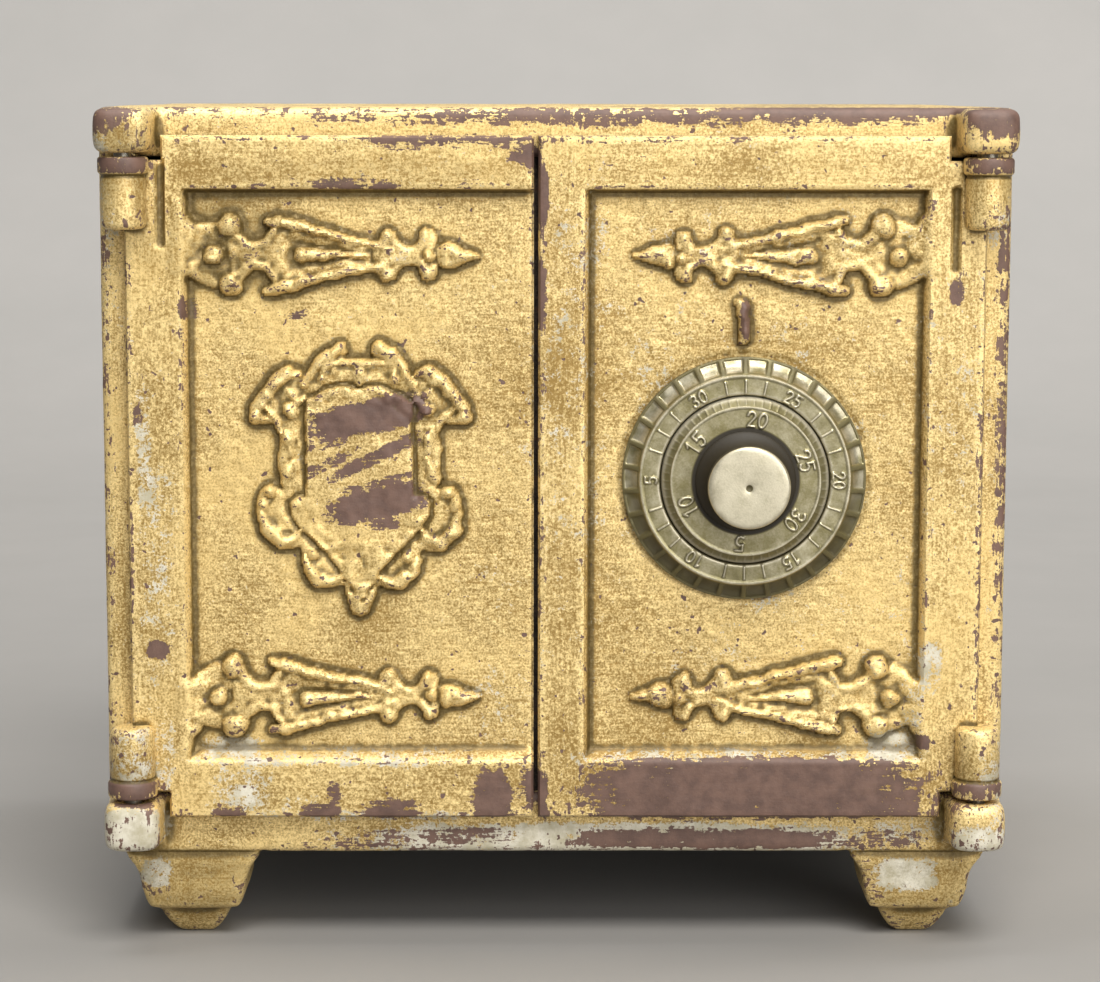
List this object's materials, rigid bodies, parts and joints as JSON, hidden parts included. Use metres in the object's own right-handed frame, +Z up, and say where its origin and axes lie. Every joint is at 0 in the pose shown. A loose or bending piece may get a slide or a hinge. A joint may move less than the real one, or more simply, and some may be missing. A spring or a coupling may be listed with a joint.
{
  "type": "toy safe coin bank",
  "caption": "Cast iron toy safe bank on feet: two hinged front doors, ring and inner dials that turn notched tumblers behind a fixed catch, and a coin slot in the top.",
  "frame": {"origin": "centre of the whole object's footprint, knob included, on the ground under the feet", "axes": "+Z up, the doors face -Y, +X to the viewer's right when looking at the doors"},
  "size_m": [0.166, 0.1342, 0.155],
  "materials": {
    "gilded_iron": "worn gold paint over brown lacquer on cast iron",
    "dark_iron": "brown lacquered iron",
    "steel": "aged steel",
    "nickel": "tarnished nickel plate"
  },
  "bodies": {
    "case": {"top_plate": "gilded_iron", "bottom_plate": "gilded_iron", "left_side_panel": "gilded_iron", "right_side_panel": "gilded_iron", "back_panel": "gilded_iron", "back_screws": "steel", "tie_rods": "steel", "lock_post": "dark_iron", "lock_post_screw": "steel", "lock_catch": "steel", "catch_screws": "steel", "left_upper_pin": "steel", "left_lower_pin": "steel", "right_upper_pin": "steel", "right_lower_pin": "steel"},
    "left_leaf": {"left_door": "gilded_iron", "button_washer": "steel", "button_screw": "steel"},
    "door_button": {"turn_button": "dark_iron"},
    "right_leaf": {"right_door": "gilded_iron"},
    "ring_dial": {"outer_dial": "nickel", "outer_sleeve": "steel", "outer_washer": "steel", "outer_tumbler": "dark_iron"},
    "centre_dial": {"inner_dial": "nickel", "knob": "nickel", "spindle": "steel", "spacer_washer": "steel", "inner_tumbler": "dark_iron", "spindle_nut": "steel"}
  },
  "joints": [
    {"name": "left_door_hinge", "type": "hinge", "parent": "case", "child": "left_leaf", "pos_m": [-0.0778, -0.05565, 0.0876], "axis": [0, 0, -1], "range_deg": [0, 180]},
    {"name": "right_door_hinge", "type": "hinge", "parent": "case", "child": "right_leaf", "pos_m": [0.0778, -0.05565, 0.0876], "axis": [0, 0, 1], "range_deg": [0, 180]},
    {"name": "turn_button_pivot", "type": "hinge", "parent": "left_leaf", "child": "door_button", "pos_m": [-0.014, -0.04015, 0.0626], "axis": [0, -1, 0], "range_deg": [0, 90]},
    {"name": "ring_dial_turn", "type": "hinge", "parent": "right_leaf", "child": "ring_dial", "pos_m": [0.0345, -0.05315, 0.0876], "axis": [0, 1, 0], "continuous": true},
    {"name": "centre_dial_turn", "type": "hinge", "parent": "right_leaf", "child": "centre_dial", "pos_m": [0.0345, -0.05315, 0.0876], "axis": [0, 1, 0], "continuous": true}
  ]
}
